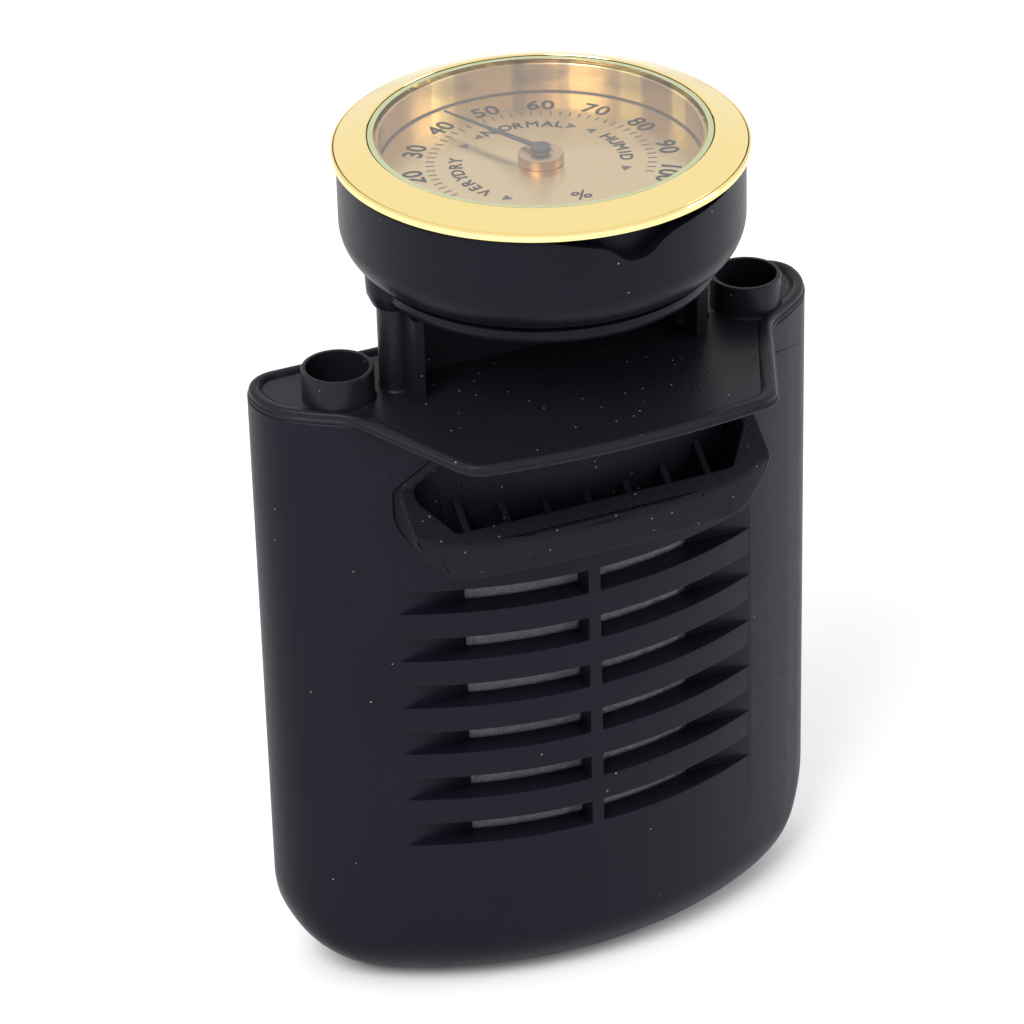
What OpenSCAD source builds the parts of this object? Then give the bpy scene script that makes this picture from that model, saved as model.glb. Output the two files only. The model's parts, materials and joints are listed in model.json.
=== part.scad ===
// Dial hygrometer on a sponge humidifier housing.
// The housing stands on its flat bottom. A grilled front shell and a back plate hold a damp sponge, and
// a lid with two filler tubes closes it. A channel-shaped neck on the lid carries a round holder with a
// press-in dial hygrometer. +Z is up, the grille faces -Y, and the origin is on the base, under the dial.

/* [Housing] */
// Width of the housing
body_w = 66; // [60:1:72]
// Height of the housing, up to the underside of the lid
body_h = 74.2; // [70:0.1:80]
// Radius of the curved front wall
front_r = 48.5; // [44:0.5:60]
// Distance from the dial's axis to the front wall's middle
front_d = 12.2; // [11:0.1:13]
// Distance from the dial's axis to the flat back
rear_d = 8.5; // [8:0.1:9]
// Radius of the two lower corners, seen from the front
bottom_corner_r = 12.5; // [8:0.5:16]
// Radius that blends the front wall into the bottom
front_fillet_r = 6.5; // [3:0.5:8]
// Thickness of the front wall
front_wall = 3; // [2.5:0.1:3.5]
// Thickness of the side and bottom walls
side_wall = 2; // [1.6:0.1:2.4]
// Thickness of the back plate
back_t = 2.2; // [1.8:0.1:2.6]

/* [Grille] */
// Number of rows of slots
slot_rows = 6; // [3:1:6]
// Distance from one row to the next
slot_pitch = 6.1; // [5:0.1:6.5]
// Height of a slot
slot_h = 2.85; // [2:0.05:3.2]
// Height of the top edge of the first row
slot_top = 53.45; // [50:0.05:54]
// Width of the bar between the left and right slots
slot_bar = 1.5; // [1:0.1:3]

/* [Finger ledge] */
// Width of the ledge across its side walls
ledge_w = 42.6; // [38:0.2:44]
// Distance from the dial's axis to the ledge's front face
ledge_d = 15.2; // [14.4:0.1:16.4]
// Height of the crease between the front band and the sloping rim
ledge_crease_z = 61.1; // [60:0.1:63]
// Rise of the sloping rim for each millimetre towards the back
ledge_slope = 0.8; // [0.6:0.05:1]
// Number of ribs inside the ledge
ledge_ribs = 7; // [5:2:9]
// Distance between the ribs
ledge_rib_pitch = 4.8; // [4:0.1:4.8]

/* [Lid and neck] */
// Thickness of the lid's plate
lid_t = 0.8; // [0.8:0.1:1.6]
// Height of the raised lip round the lid
lid_lip_h = 0.4; // [0.3:0.1:1.2]
// Distance from the dial's axis to the front of the lid's tongue
tongue_d = 22.8; // [20:0.1:25]
// Distance from the dial's axis to each filler tube
tube_x = 24.4; // [23.5:0.1:25]
// Outer radius of a filler tube
tube_r = 3.95; // [3.8:0.05:4.2]
// Bore radius of a filler tube
tube_bore_r = 3.42; // [3:0.02:3.5]
// Height of a filler tube above the lid's floor
tube_h = 3.8; // [3:0.1:6]
// Distance from the dial's axis to each neck post
post_x = 17.5; // [17:0.1:18]
// Radius of a neck post
post_r = 2; // [1.8:0.1:2.2]
// Height of the gap for the strings, from the lid's floor to the holder's underside
string_gap = 10.6; // [10:0.1:14]

/* [Holder] */
// Outer radius of the round holder
holder_r = 22; // [21.8:0.1:22.4]
// Height of the holder, from its underside to its rim
holder_h = 11.8; // [11.6:0.1:12.6]
// Radius of the holder's lower outer edge
holder_fillet_r = 4.5; // [3:0.1:5]
// Radius of the dish under the holder
dish_r = 19.1; // [18.6:0.1:19.4]
// Height of the dish under the holder
dish_h = 2; // [1.6:0.1:2.4]

/* [Instrument] */
// Outer radius of the bezel
bezel_r = 22.5; // [22.4:0.1:23]
// Height of the bezel above the holder's rim
bezel_t = 2.3; // [2:0.1:2.6]
// Height of the bezel's outer band, up to its cone
bezel_band = 1; // [0.8:0.1:1.2]
// Radius of the lens
lens_r = 18.6; // [18.4:0.05:18.7]
// Depth of the dial's face below the top of the bezel
dial_depth = 4.6; // [4.2:0.1:4.8]
// Length of the pointer from its axis to its tip
pointer_l = 14.2; // [12:0.1:15]
// Direction of the pointer at rest, counter-clockwise from +X seen from above
pointer_angle = 114; // [0:1:160]
// Radius of the brass bush in the middle of the dial
bush_r = 2.45; // [2:0.05:3]

/* [Hidden] */
$fn = 64;
eps = 0.01;

black = [0.11, 0.11, 0.14];
gold = [0.93, 0.78, 0.36];
champagne = [0.84, 0.72, 0.48];
brass = [0.72, 0.52, 0.34];
steel = [0.72, 0.73, 0.75];

// Heights
bottom_t = 2.2;
lid_floor_z = body_h + lid_t;
lid_lip_z = lid_floor_z + lid_lip_h;
dish_z = lid_floor_z + string_gap;
holder_z = dish_z + dish_h;
rim_z = holder_z + holder_h;
flange_z = rim_z + 0.1;
top_z = flange_z + bezel_t;
pocket_z = holder_z + 2;
case_z = pocket_z + 0.4;
dial_z = top_z - dial_depth;
dial_t = 0.4;
lens_t = 1;
lens_z = top_z - 1.15;

// Plan of the housing
half_w = body_w / 2;
arc_y = front_r - front_d;
corner_r = 4;
back_y = rear_d - back_t;
fit = 0.05;

// Places of the back plate's four screws, as [x, z]
back_screw_places = [[-28.2, 64], [28.2, 64], [-26, 13], [26, 13]];
back_screw_r = 1.1;
back_screw_l = 6;
back_boss_w = 5;
back_boss_l = 6.8;

// Gap from the housing's walls to the lid's skirt
skirt_gap = 0.8;

// Height at which the room below the filler tubes starts
relief_z = body_h - 9;

// Instrument
case_r = 19;
case_wall = 0.6;
skirt_r = 19.45;
pocket_r = 19.8;
spindle_r = 0.5;
bridge_z = case_z + 1.2;
bridge_t = 0.7;
bridge_l = 26;
coil_z = bridge_z + bridge_t + 1.1;
coil_h = 2.2;
coil_r = 7.6;
stud_r = 1.8;
bush_h = 1.2;
pointer_z = dial_z + bush_h + 0.4;

// Points on a round corner at p1, between p0 and p2, with radius r
function unit(v) = v / norm(v);
function corner(p0, p1, p2, r, n = 6) =
    let (
        a = unit(p0 - p1),
        b = unit(p2 - p1),
        half = acos(a * b) / 2,
        centre = p1 + unit(a + b) * r / sin(half),
        from = p1 + a * r / tan(half) - centre,
        to = p1 + b * r / tan(half) - centre,
        start = atan2(from.y, from.x),
        swing = atan2(to.y, to.x) - start,
        turn = swing > 180 ? swing - 360 : swing < -180 ? swing + 360 : swing
    )
    [for (i = [0:n]) centre + r * [cos(start + turn * i / n), sin(start + turn * i / n)]];

// Outline through points given as [x, y, r], each with its own corner radius
function rounded(pts) =
    let (n = len(pts), xy = [for (p = pts) [p.x, p.y]])
    [for (i = [0:n - 1])
        each pts[i].z == 0 ? [xy[i]] : corner(xy[(i + n - 1) % n], xy[i], xy[(i + 1) % n], pts[i].z)];

// Front wall's distance along Y at x, for an arc of radius r about the housing's arc centre
function arc_front(x, r) = arc_y - sqrt(r * r - x * x);

// Plan of the housing, moved in by side, front and rear, from the left end to the right along the front.
// Its rear corners have radius r and its blunter front ones 1.8 r.
function plan(side = 0, front = 0, rear = 0, r = corner_r, steps = 20) =
    let (
        w = half_w - side,
        fr = front_r - front,
        reach = w - 1.1 * r,
        flank = [for (i = [0:steps]) let (x = -reach + 2 * reach * i / steps) [x, arc_front(x, fr), 0]]
    )
    rounded(concat([[-w, arc_front(w, fr), 1.8 * r]], flank,
        [[w, arc_front(w, fr), 1.8 * r], [w, rear_d - rear, r], [-w, rear_d - rear, r]]));

// Amount by which a quarter round of radius r is in from the wall at height z
function round_in(z, r) = z >= r ? 0 : r - sqrt(r * r - (r - z) * (r - z));

// Closed body of the housing: walls moved in by side, front and rear, standing on floor_z
module housing(side, front, rear, floor_z, top) {
    side_r = bottom_corner_r - side;
    fillet_r = front_fillet_r - side;
    r = max(1, corner_r - side);
    hull()
        for (a = [0:15:90])
            let (z = side_r * (1 - cos(a)))
                translate([0, 0, floor_z + z - (a == 90 ? eps : 0)])
                    linear_extrude(eps)
                        polygon(plan(side + side_r * (1 - sin(a)), front + round_in(z, fillet_r), rear, r));
    translate([0, 0, floor_z + side_r])
        linear_extrude(top - floor_z - side_r)
            polygon(plan(side, front, rear, r));
}

module ring(outer, inner, h) {
    linear_extrude(h)
        difference() {
            polygon(outer);
            polygon(inner);
        }
}

module tube(r_out, r_in, h) {
    difference() {
        cylinder(r = r_out, h = h);
        translate([0, 0, -1])
            cylinder(r = r_in, h = h + 2);
    }
}

// Countersunk screw with its head's face at z = 0 and its shank along -Z
module screw(r, head_r, l) {
    slot_w = r * 0.5;
    difference() {
        union() {
            translate([0, 0, -l])
                cylinder(r = r, h = l);
            translate([0, 0, r - head_r])
                cylinder(r1 = r, r2 = head_r, h = head_r - r);
        }
        for (a = [0, 90])
            rotate(a)
                translate([-head_r * 0.6, -slot_w / 2, -head_r * 0.35])
                    cube([head_r * 1.2, slot_w, head_r]);
    }
}

// Hole for that screw, a little larger
module screw_hole(r, head_r, l) {
    translate([0, 0, -l - 1])
        cylinder(r = r + fit, h = l + 1);
    translate([0, 0, r - head_r])
        cylinder(r1 = r + fit, r2 = head_r + fit, h = head_r - r);
    translate([0, 0, -eps])
        cylinder(r = head_r + fit, h = 1);
}

// ---- Housing ----

// Square bosses for the back plate's screws, wider by m all round and longer by m
module back_bosses(m) {
    w = back_boss_w + 2 * m;
    for (p = back_screw_places)
        translate([p.x - w / 2, back_y - back_boss_l - m, p.y - w / 2])
            cube([w, back_boss_l + m, w]);
}

// Rows of grooves, milled to a flat floor so that they break through a curved wall
module front_grooves() {
    groove_y = arc_front(half_w * 0.65, front_r);
    groove_l = half_w;
    for (row = [0:slot_rows - 1], side = [0, 1])
        mirror([side, 0, 0])
            translate([slot_bar / 2, groove_y - 20, slot_top - slot_h - row * slot_pitch])
                cube([groove_l, 20, slot_h]);
}

module back_slots() {
    slot_l = 13.3;
    for (row = [0:slot_rows - 1], side = [0, 1])
        mirror([side, 0, 0])
            translate([slot_bar / 2, rear_d - back_t - 1, slot_top - slot_h - row * slot_pitch])
                cube([slot_l, back_t + 2, slot_h]);
}

// Outline of the finger ledge seen from the front, moved in by m, as a prism along Y
module ledge_prism(m, y0, y1) {
    w = ledge_w / 2 - m;
    low = ledge_crease_z - 3.9 + m;
    high = body_h - 1.6;
    cut = 4.2;
    translate([0, y1, 0])
        rotate([90, 0, 0])
            linear_extrude(y1 - y0)
                polygon([[-w + cut, low], [w - cut, low], [w, low + cut - m / 2], [w, high - 6.4],
                    [w - 6.4, high], [-w + 6.4, high], [-w, high - 6.4], [-w, low + cut - m / 2]]);
}

module behind_arc(r) {
    translate([0, arc_y, -1])
        cylinder(r = r, h = body_h + 2, $fn = 128);
}

// Room round the way in below each filler tube
module filler_reliefs() {
    for (x = [-tube_x, tube_x])
        translate([x, 0, relief_z])
            cylinder(r = tube_bore_r + 0.6, h = body_h - relief_z);
}

module front_shell() {
    color(black)
        difference() {
            union() {
                difference() {
                    housing(0, 0, 0, 0, body_h);
                    housing(side_wall, front_wall, 0.5, bottom_t, body_h + 2);
                    front_grooves();
                }
                back_bosses(0);
            }
            ledge_prism(-0.05, -30, 0);
            filler_reliefs();
            translate([-half_w - 1, back_y, -1])
                cube([body_w + 2, back_t + 2, body_h + 2]);
            for (p = back_screw_places)
                translate([p.x, back_y + 1, p.y])
                    rotate([90, 0, 0])
                        cylinder(r = back_screw_r + fit, h = back_screw_l - back_t + 1.4);
        }
}

module back_plate() {
    color(black)
        difference() {
            intersection() {
                housing(0, 0, 0, 0, body_h);
                translate([-half_w - 1, back_y, -1])
                    cube([body_w + 2, back_t + 2, body_h + 2]);
            }
            back_slots();
            for (p = back_screw_places)
                translate([p.x, rear_d, p.y])
                    rotate([-90, 0, 0])
                        screw_hole(back_screw_r, 2, back_t);
        }
}

module back_screws() {
    color(steel)
        for (p = back_screw_places)
            translate([p.x, rear_d, p.y])
                rotate([-90, 0, 0])
                    screw(back_screw_r, 2, back_screw_l);
}

// Solid on which the ledge is cut: its rim slopes up from the crease to the housing's wall
module ledge_wedge(m) {
    translate([-half_w, 0, 0])
        rotate([90, 0, 90])
            linear_extrude(body_w)
                polygon([
                    [-ledge_d + m, ledge_crease_z - m * ledge_slope - 10],
                    [-ledge_d + m, ledge_crease_z - m * 0.3],
                    [0, ledge_crease_z - m * 0.3 + (ledge_d - m) * ledge_slope],
                    [0, ledge_crease_z - 10]
                ]);
}

module finger_ledge() {
    front_bow_r = 150;
    rim = 1.7;
    back_t = 0.9;
    rib_t = 0.8;
    rib_drop = 0.35;
    color(black)
        difference() {
            union() {
                difference() {
                    intersection() {
                        union() {
                            intersection() {
                                ledge_prism(0, -30, 0);
                                ledge_wedge(0);
                                translate([0, front_bow_r - ledge_d, 0])
                                    cylinder(r = front_bow_r, h = body_h, $fn = 256);
                            }
                            intersection() {
                                ledge_prism(0, -30, 0);
                                behind_arc(front_r);
                            }
                        }
                        ledge_prism(0, -30, 0);
                    }
                    difference() {
                        ledge_prism(rim, -ledge_d + rim + 0.6, 0);
                        behind_arc(front_r - front_wall + back_t);
                    }
                }
                intersection() {
                    for (i = [-(ledge_ribs - 1) / 2:(ledge_ribs - 1) / 2])
                        translate([i * ledge_rib_pitch - rib_t / 2, -ledge_d + 1, 0])
                            cube([rib_t, ledge_d, body_h]);
                    ledge_prism(rim - 0.1, -ledge_d + rim + 0.5, 0);
                    translate([0, 0, -rib_drop])
                        ledge_wedge(0);
                }
            }
            behind_arc(front_r - front_wall);
        }
}

module sponge() {
    color([0.78, 0.78, 0.74])
        difference() {
            intersection() {
                housing(side_wall + 0.6, front_wall + 0.3, 0, bottom_t + 0.1, 64);
                translate([-25.3, -20, 0])
                    cube([50.6, 20 + back_y - 0.3, 64]);
            }
            back_bosses(0.4);
        }
}

// ---- Lid and neck ----

// Outline of the lid, moved in by m: the housing's ends and back, with a tongue over the ledge
function lid_plan(m) =
    let (
        w = half_w - m,
        fr = front_r - m,
        root = 25.2 - m,
        tip = 18 - m,
        bow = 1.4,
        end_r = 1.8 * corner_r - m,
        front = -tongue_d + m,
        arc_left = [for (x = [-w + 3:1:-root - 2.6]) [x, arc_front(x, fr), 0]],
        arc_right = [for (x = [root + 2.6:1:w - 3]) [x, arc_front(x, fr), 0]],
        tongue = [for (x = [-12:4:12]) [x, front + bow * pow(x / tip, 2), 0]]
    )
    rounded(concat([[-w, arc_front(w, fr), end_r]], arc_left, [[-root, arc_front(root, fr), 6 + m],
        [-tip, front + bow, 3.2]], tongue, [[tip, front + bow, 3.2], [root, arc_front(root, fr), 6 + m]],
        arc_right, [[w, arc_front(w, fr), end_r], [w, rear_d - m, corner_r - m],
        [-w, rear_d - m, corner_r - m]]));

// Outline of the lid's skirt, which stands inside the housing's walls, moved in by m and by end at the ends
function skirt_plan(m, end = 0) =
    plan(side_wall + skirt_gap + m + end, front_wall + skirt_gap + m, back_t + skirt_gap + m, 0.9);

// Fins and web of the neck, wider by m all round
module neck_walls(m) {
    fin_t = 1.2;
    fin_y = 4.8;
    web_y = 1.2;
    for (side = [0, 1])
        mirror([side, 0, 0])
            translate([post_x - post_r + 0.6 - m, -fin_y - m, lid_floor_z - eps])
                cube([fin_t + 2 * m, fin_y + m, string_gap - 0.9 + m]);
    translate([-post_x, web_y - m, lid_floor_z - eps])
        cube([2 * post_x, fin_t + 2 * m, string_gap - 0.2 + m]);
}

module neck() {
    for (x = [-post_x, post_x])
        translate([x, 0, lid_floor_z - eps])
            cylinder(r = post_r, h = holder_z - 1.1 - lid_floor_z);
    neck_walls(0);
}

module lid() {
    skirt_h = 6;
    skirt_t = 1.2;
    skirt_end = 3.2;
    color(black)
        difference() {
            union() {
                translate([0, 0, body_h])
                    linear_extrude(lid_t)
                        polygon(lid_plan(0));
                translate([0, 0, lid_floor_z - eps])
                    ring(lid_plan(0.1), lid_plan(1.5), lid_lip_h + eps);
                translate([0, 0, body_h - skirt_h])
                    ring(skirt_plan(0), skirt_plan(skirt_t, skirt_end), skirt_h + eps);
                for (x = [-tube_x, tube_x])
                    translate([x, 0, body_h])
                        cylinder(r = tube_r, h = lid_t + tube_h);
                neck();
            }
            filler_reliefs();
            for (x = [-tube_x, tube_x])
                translate([x, 0, body_h - 1])
                    cylinder(r = tube_bore_r, h = lid_t + tube_h + 2);
            for (x = [-post_x, post_x])
                translate([x, 0, lid_floor_z + 2])
                    cylinder(r = 1 + fit, h = 30);
        }
}

// Two lengths, front and back, that stop short of the filler tubes
module lid_gasket() {
    gasket_h = 1.6;
    half = tube_x - tube_bore_r - 1;
    color([0.2, 0.2, 0.21])
        translate([0, 0, body_h - gasket_h - 0.02])
            linear_extrude(gasket_h)
                intersection() {
                    difference() {
                        polygon(plan(side_wall + fit, front_wall + fit, back_t + fit, 2));
                        polygon(skirt_plan(-0.02));
                    }
                    square([2 * half, 200], center = true);
                }
}

// ---- Holder ----

// Quarter round from angle a to b about a centre, as points
function quarter(c, r, a, b, n = 8) =
    [for (i = [0:n]) let (t = a + (b - a) * i / n) c + r * [cos(t), sin(t)]];

module holder_boss(x) {
    translate([x, 0, dish_z + 0.8])
        cylinder(r = 3, h = 3.5);
    translate([x, 0, dish_z - 0.5])
        cylinder(r1 = 2.45, r2 = 3, h = 1.3 + eps);
}

// Lopsided scoop in the outside of the rim, where a fingernail lifts the bezel
module pry_notch() {
    difference() {
        translate([0, 0, rim_z])
            rotate([90, 0, 0])
                linear_extrude(holder_r + 1)
                    polygon([[-8.4, 0.5], [-8.4, -0.1], [-5.5, -0.75], [-2.4, -1.5], [-0.6, -2.9],
                        [1.6, -3.4], [3.4, -2.6], [5.4, -1.5], [7.8, -1], [12.9, -0.5], [17.5, -0.1],
                        [17.5, 0.5]]);
        cylinder(r = pocket_r + 0.5, h = top_z, $fn = 128);
    }
}

module holder() {
    f = holder_fillet_r;
    color(black)
        difference() {
            union() {
                rotate_extrude($fn = 128)
                    polygon(concat([[0, holder_z - eps]],
                        quarter([holder_r - f, holder_z + f], f, -90, 0),
                        quarter([holder_r - 0.5, rim_z - 0.5], 0.5, 0, 90, 4), [[0, rim_z]]));
                rotate_extrude($fn = 128)
                    polygon(concat([[0, dish_z]], quarter([dish_r - 1.2, dish_z + 1.2], 1.2, -90, 0),
                        [[dish_r, holder_z + 1], [0, holder_z + 1]]));
                for (x = [-post_x, post_x])
                    holder_boss(x);
            }
            translate([0, 0, pocket_z])
                cylinder(r = pocket_r, h = holder_h, $fn = 128);
            translate([0, 0, dish_z + 1.6])
                cylinder(r = 14.5, h = holder_h);
            for (x = [-post_x, post_x]) {
                translate([x, 0, dish_z - 10])
                    cylinder(r = post_r + fit, h = 10 + dish_h - 1);
                translate([x, 0, pocket_z])
                    screw_hole(1, 1.8, 6);
            }
            neck_walls(0.1);
            pry_notch();
        }
}

module post_screws() {
    color(steel)
        for (x = [-post_x, post_x])
            translate([x, 0, pocket_z])
                screw(1, 1.8, 11);
}

// ---- Instrument ----

module case() {
    vent_r = 1.2;
    vent_pcd = 24;
    color(gold)
        difference() {
            translate([0, 0, case_z])
                cylinder(r = case_r, h = dial_z - dial_t - case_z, $fn = 128);
            translate([0, 0, case_z + 0.5])
                cylinder(r = case_r - case_wall, h = 20, $fn = 128);
            for (i = [0:11])
                rotate(i * 30 + 15)
                    translate([vent_pcd / 2, 0, case_z - 1])
                        cylinder(r = vent_r, h = 3);
            translate([0, 0, case_z - 1])
                cylinder(r = 2.4, h = 3);
            for (x = [-11, 11])
                translate([x, 0, case_z - 1])
                    cylinder(r = 0.6 + fit, h = 3);
        }
}

// Ribbed rubber band that holds the case in the holder
module seat_gasket() {
    band_z = case_z + 1.3;
    band_h = 3.3;
    rib_r = pocket_r - 0.05;
    color([0.12, 0.12, 0.12])
        translate([0, 0, band_z])
            rotate_extrude($fn = 128)
                polygon([[case_r, 0], [rib_r - 0.3, 0], [rib_r, 0.4], [rib_r - 0.3, 0.8], [rib_r - 0.3, 1.3],
                    [rib_r, 1.7], [rib_r - 0.3, 2.1], [rib_r - 0.3, 2.5], [rib_r, 2.9], [rib_r - 0.3, band_h],
                    [case_r, band_h]]);
}

module bezel() {
    opening_r = lens_r + 0.03;
    skirt_z = dial_z - 1.5;
    seam_r = case_r + 0.02;
    band_z = flange_z + bezel_band;
    color(gold)
        rotate_extrude($fn = 160)
            polygon([[opening_r, lens_z + 0.02], [opening_r, top_z - 0.1], [opening_r + 0.15, top_z],
                [opening_r + 0.35, top_z - 0.02], [bezel_r - 0.15, band_z], [bezel_r, band_z - 0.15],
                [bezel_r, flange_z + 0.2], [bezel_r - 0.2, flange_z], [skirt_r, flange_z], [skirt_r, skirt_z],
                [seam_r, skirt_z], [seam_r, lens_z + 0.02]]);
}

module wall_ring() {
    color(gold)
        translate([0, 0, dial_z])
            tube(case_r - 0.05, 17.4, lens_z - dial_z, $fn = 160);
}

module lens() {
    color([0.8, 0.85, 0.8, 0.4])
        translate([0, 0, lens_z])
            rotate_extrude($fn = 160)
                polygon([[0, 0], [lens_r, 0], [lens_r, lens_t - 0.3], [lens_r - 0.5, lens_t], [0, lens_t]]);
}

module dial_plate() {
    color(champagne)
        translate([0, 0, dial_z - dial_t])
            tube(case_r - 0.05, 1.6 + fit, dial_t, $fn = 160);
}

module hub_bush() {
    color(brass)
        difference() {
            union() {
                translate([0, 0, dial_z])
                    cylinder(r = bush_r, h = bush_h);
                translate([0, 0, dial_z - 1.3])
                    cylinder(r = 1.6, h = 1.4);
                translate([0, 0, dial_z - dial_t - 0.9])
                    cylinder(r = 2.6, h = 0.9, $fn = 6);
            }
            translate([0, 0, dial_z - 5])
                cylinder(r = spindle_r + fit, h = 10);
        }
}

module bridge() {
    foot_w = 4.5;
    color(brass)
        difference() {
            union() {
                translate([-bridge_l / 2, -2.5, bridge_z])
                    cube([bridge_l, 5, bridge_t]);
                for (x = [-bridge_l / 2, bridge_l / 2 - foot_w])
                    translate([x, -2.5, case_z + 0.5])
                        cube([foot_w, 5, bridge_z - case_z - 0.5 + eps]);
                translate([0, 0, bridge_z])
                    cylinder(r = 3.4, h = bridge_t);
            }
            translate([0, 0, bridge_z - 1])
                cylinder(r = stud_r + fit, h = 3);
            for (x = [-11, 11])
                translate([x, 0, case_z - 1])
                    cylinder(r = 0.6 + fit, h = 6);
        }
}

module bridge_screws() {
    color(steel)
        for (x = [-11, 11])
            translate([x, 0, case_z + 0.1]) {
                cylinder(r = 0.6, h = bridge_z + bridge_t - case_z);
                translate([0, 0, bridge_z + bridge_t - case_z - 0.1])
                    difference() {
                        cylinder(r = 1.2, h = 0.6);
                        translate([-2, -0.15, 0.3])
                            cube([4, 0.3, 1]);
                    }
            }
}

// Slotted stud that turns in the bridge and carries the coil's outer end on an arm
module adjuster() {
    washer_z = bridge_z + bridge_t + 0.05;
    arm_z = washer_z + 0.4;
    color(brass)
        difference() {
            union() {
                translate([0, 0, bridge_z - 0.5])
                    cylinder(r = stud_r, h = washer_z - bridge_z + 0.5 + eps);
                translate([0, 0, washer_z])
                    cylinder(r = 3, h = 0.4);
                translate([0, -0.8, washer_z])
                    cube([coil_r + 1.2, 1.6, 0.4]);
                translate([coil_r + 0.85, 0, arm_z - eps])
                    cylinder(r = 0.65, h = coil_z + coil_h - arm_z);
            }
            translate([0, 0, bridge_z + 0.2])
                cylinder(r = spindle_r + fit, h = 3);
            translate([-3, -0.3, bridge_z - 1])
                cube([6, 0.6, 1]);
        }
}

// Flat spiral of moisture-sensitive strip: its collar turns with the spindle, its outer end is on the arm
module humidity_coil() {
    turns = 5;
    strip = 0.28;
    start_r = 1.3;
    step = 15;
    ends = turns * 360;
    growth = (coil_r - start_r) / ends;
    inner = [for (a = [0:step:ends]) (start_r + growth * a - strip / 2) * [cos(a), sin(a)]];
    outer = [for (a = [ends:-step:0]) (start_r + growth * a + strip / 2) * [cos(a), sin(a)]];
    color([0.75, 0.6, 0.4])
        translate([0, 0, coil_z]) {
            linear_extrude(coil_h)
                polygon(concat(inner, outer));
            tube(start_r + 0.05, spindle_r + fit, coil_h);
            translate([coil_r - 0.1, -0.15, 0])
                cube([0.35, 0.3, coil_h]);
        }
}

module spindle() {
    foot_z = bridge_z + 0.3;
    color(steel)
        translate([0, 0, foot_z])
            cylinder(r = spindle_r, h = pointer_z + 0.3 - foot_z);
}

module pointer() {
    blade_t = 0.2;
    color([0.1, 0.1, 0.12])
        translate([0, 0, pointer_z])
            rotate(pointer_angle)
                difference() {
                    union() {
                        translate([0, 0, -0.3])
                            cylinder(r = 1.1, h = 0.7);
                        linear_extrude(blade_t)
                            polygon([[-1, -0.45], [4, -0.42], [pointer_l - 0.3, -0.08], [pointer_l, 0],
                                [pointer_l - 0.3, 0.08], [4, 0.42], [-1, 0.45]]);
                    }
                    translate([0, 0, -1])
                        cylinder(r = spindle_r, h = 1.3);
                }
}

front_shell();
back_plate();
back_screws();
finger_ledge();
sponge();
lid();
lid_gasket();
holder();
post_screws();
case();
seat_gasket();
bezel();
wall_ring();
lens();
dial_plate();
hub_bush();
bridge();
bridge_screws();
adjuster();
humidity_coil();
spindle();
pointer();
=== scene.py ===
"""Looks of the dial hygrometer on its sponge housing, in the frame of its CAD model.

Sizes are in mm, except that the lamps' places and sizes are in metres.
"""
import json
import math
import random

import bmesh
import bpy
from mathutils import Matrix, Vector

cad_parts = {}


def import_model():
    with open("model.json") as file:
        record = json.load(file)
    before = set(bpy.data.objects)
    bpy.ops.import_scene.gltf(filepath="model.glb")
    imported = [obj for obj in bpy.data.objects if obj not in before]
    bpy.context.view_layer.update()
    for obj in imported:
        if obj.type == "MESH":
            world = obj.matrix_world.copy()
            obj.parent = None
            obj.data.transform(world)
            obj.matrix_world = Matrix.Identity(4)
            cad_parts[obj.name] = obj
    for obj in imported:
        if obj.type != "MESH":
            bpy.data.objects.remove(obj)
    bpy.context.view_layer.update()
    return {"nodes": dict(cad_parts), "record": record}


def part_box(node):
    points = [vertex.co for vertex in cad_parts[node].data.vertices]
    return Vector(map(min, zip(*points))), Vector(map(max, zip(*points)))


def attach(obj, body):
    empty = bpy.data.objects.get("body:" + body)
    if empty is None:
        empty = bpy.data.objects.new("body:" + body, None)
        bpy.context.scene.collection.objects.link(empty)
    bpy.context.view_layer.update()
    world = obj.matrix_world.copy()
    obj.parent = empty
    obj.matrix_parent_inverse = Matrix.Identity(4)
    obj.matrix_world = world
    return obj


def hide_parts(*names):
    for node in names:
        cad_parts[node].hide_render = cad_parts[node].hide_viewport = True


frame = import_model()
MM = 0.001


def span(node):
    """Lowest and highest corner of a CAD node, in mm."""
    lo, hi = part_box(node)
    return lo / MM, hi / MM


# ---- Sizes, read from the frame where it has them ----

shell_hi = span("front_shell")[1]
plate_lo, plate_hi = span("back_plate")
ledge_lo = span("finger_ledge")[0]
lid_lo = span("lid")[0]
holder_hi = span("holder")[1]
bezel_hi = span("bezel")[1]
lens_lo, lens_hi = span("lens")
wall_hi = span("wall_ring")[1]
dial_lo, dial_hi = span("dial_plate")
sponge_lo, sponge_hi = span("sponge")

HALF_W = shell_hi.x
BODY_H = shell_hi.z
REAR_Y = plate_hi.y
BACK_Y = plate_lo.y
FRONT_R = 48.5
ARC_Y = FRONT_R - 12.2
FRONT_WALL, SIDE_WALL, BOTTOM_T = 3.0, 2.0, 2.2
SIDE_R, FILLET_R, CORNER_R = 12.5, 6.5, 4.0
BOSS_PLACES = ((-28.2, 64), (28.2, 64), (-26, 13), (26, 13))
BOSS_HALF, BOSS_D = 2.5, 6.8
SCREW_ROOM_R, POST_SCREW_ROOM_R = 1.15, 1.05
RIB_PITCH, RIB_T = 4.8, 0.8
FAR = 40
SLOT_ROWS, SLOT_PITCH, SLOT_H, SLOT_TOP, SLOT_BAR = 6, 6.1, 2.85, 53.45, 1.5

LID_FLOOR = BODY_H + 0.8
LIP_Z = LID_FLOOR + 0.4
TONGUE_Y = lid_lo.y
TUBE_X, TUBE_R, TUBE_BORE, TUBE_TOP = 24.4, 3.95, 3.42, LID_FLOOR + 3.8
RELIEF_R, RELIEF_Z = TUBE_BORE + 0.6, BODY_H - 9
POST_X, POST_R = 17.5, 2.0

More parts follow.
